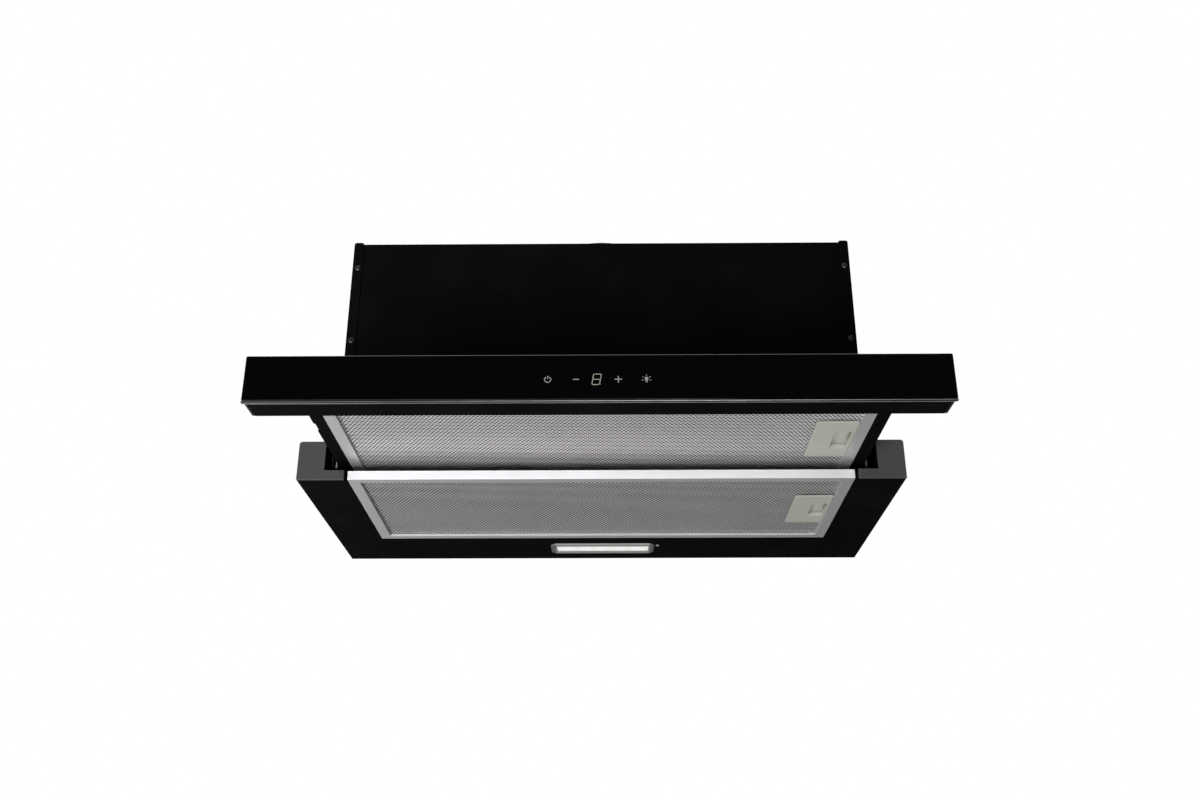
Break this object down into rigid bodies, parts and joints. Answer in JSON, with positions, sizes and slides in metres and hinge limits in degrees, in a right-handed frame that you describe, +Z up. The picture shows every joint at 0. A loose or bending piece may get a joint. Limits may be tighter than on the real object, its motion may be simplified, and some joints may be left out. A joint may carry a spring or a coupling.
{
  "type": "pull out range hood",
  "caption": "Slim telescopic cooker hood: a glass fronted filter drawer slides out of a shallow frame under a tall motor housing.",
  "frame": {"origin": "middle of the plane on which the wall cabinet's side panels stand, on top of the frame's two side wings, half way along the frame's depth", "axes": "+X to the user's right, +Y to the wall behind, +Z up; the drawer slides out along -Y"},
  "size_m": [0.598, 0.4729, 0.3098],
  "materials": {
    "black_steel": "satin black powder coat",
    "black_plastic": "fine moulded texture",
    "grey_plastic": "matt dark grey",
    "black_glass": "polished, printed black behind",
    "edge_trim": "dark satin",
    "filter_frame": "satin",
    "filter_mesh": "perforated, bright",
    "latch_plastic": "warm light grey",
    "zinc_steel": "bright zinc",
    "lamp_bezel": "satin grey",
    "lamp_lens": "opal diffuser",
    "circuit_board": "solder mask",
    "display": "smoked",
    "rubber": "matt",
    "capacitor": "plain"
  },
  "bodies": {
    "hood": {"base_frame": "black_steel", "left_end_cap": "grey_plastic", "right_end_cap": "grey_plastic", "left_housing_side": "black_steel", "right_housing_side": "black_steel", "housing_front": "black_steel", "housing_rear": "black_steel", "housing_top": "black_steel", "left_lower_screw": "black_steel", "right_lower_screw": "black_steel", "left_upper_screw": "black_steel", "right_upper_screw": "black_steel", "left_cabinet_bracket": "zinc_steel", "right_cabinet_bracket": "zinc_steel", "outlet_collar": "black_plastic", "flap_pin": "zinc_steel", "blower_front": "black_plastic", "blower_rear": "black_plastic", "motor": "zinc_steel", "motor_bracket": "zinc_steel", "control_box": "black_plastic", "control_box_lid": "black_plastic", "control_board": "circuit_board", "capacitor": "capacitor", "cable_gland": "black_plastic", "lamp_bezel": "lamp_bezel", "lamp_lens": "lamp_lens", "led_board": "circuit_board", "lamp_screw": "zinc_steel", "left_slide_fixed": "zinc_steel", "right_slide_fixed": "zinc_steel"},
    "impeller": {"fan_wheel": "grey_plastic", "motor_shaft": "zinc_steel"},
    "front_flap": {"front_flap": "black_plastic"},
    "rear_flap": {"rear_flap": "black_plastic"},
    "left_middle_slide": {"left_slide_middle": "zinc_steel"},
    "right_middle_slide": {"right_slide_middle": "zinc_steel"},
    "drawer": {"drawer_frame": "black_steel", "drawer_cover": "black_steel", "bar_carrier": "black_steel", "left_bar_end_cap": "black_plastic", "right_bar_end_cap": "black_plastic", "glass_fascia": "black_glass", "fascia_trim": "edge_trim", "touch_board": "circuit_board", "display": "display", "left_bumper": "rubber", "right_bumper": "rubber", "left_slide_drawer": "zinc_steel", "right_slide_drawer": "zinc_steel", "front_filter_frame": "filter_frame", "front_filter_mesh": "filter_mesh", "front_latch_plate": "latch_plastic"},
    "front_latch": {"front_latch_slider": "latch_plastic"},
    "rear_filter": {"rear_filter_frame": "filter_frame", "rear_filter_mesh": "filter_mesh", "rear_latch_plate": "latch_plastic"},
    "rear_latch": {"rear_latch_slider": "latch_plastic"}
  },
  "joints": [
    {"name": "drawer_slide", "type": "slide", "parent": "hood", "child": "drawer", "axis": [0, -1, 0], "range_m": [-0.159, 0]},
    {"name": "left_slide_extension", "type": "slide", "parent": "hood", "child": "left_middle_slide", "axis": [0, -1, 0], "range_m": [-0.0795, 0]},
    {"name": "right_slide_extension", "type": "slide", "parent": "hood", "child": "right_middle_slide", "axis": [0, -1, 0], "range_m": [-0.0795, 0]},
    {"name": "rear_filter_hinge", "type": "hinge", "parent": "hood", "child": "rear_filter", "pos_m": [-0.2495, -0.041, -0.04], "axis": [0, 1, 0], "range_deg": [0, 70]},
    {"name": "rear_latch_pull", "type": "slide", "parent": "rear_filter", "child": "rear_latch", "axis": [-1, 0, 0], "range_m": [0, 0.006], "stiffness_N_per_m": 400, "springref_m": -0.004},
    {"name": "front_latch_pull", "type": "slide", "parent": "drawer", "child": "front_latch", "axis": [-1, 0, 0], "range_m": [0, 0.006], "stiffness_N_per_m": 400, "springref_m": -0.004},
    {"name": "front_flap_hinge", "type": "hinge", "parent": "hood", "child": "front_flap", "pos_m": [0, -0.01, 0.234], "axis": [-1, 0, 0], "range_deg": [0, 75]},
    {"name": "rear_flap_hinge", "type": "hinge", "parent": "hood", "child": "rear_flap", "pos_m": [0, -0.01, 0.234], "axis": [1, 0, 0], "range_deg": [0, 75]},
    {"name": "impeller_spin", "type": "hinge", "parent": "hood", "child": "impeller", "pos_m": [-0.056, -0.01, 0.11], "axis": [0, 1, 0], "continuous": true}
  ],
  "couplings": [
    {"joint": "left_slide_extension", "follows": "drawer_slide", "ratio": 0.5},
    {"joint": "right_slide_extension", "follows": "drawer_slide", "ratio": 0.5}
  ]
}
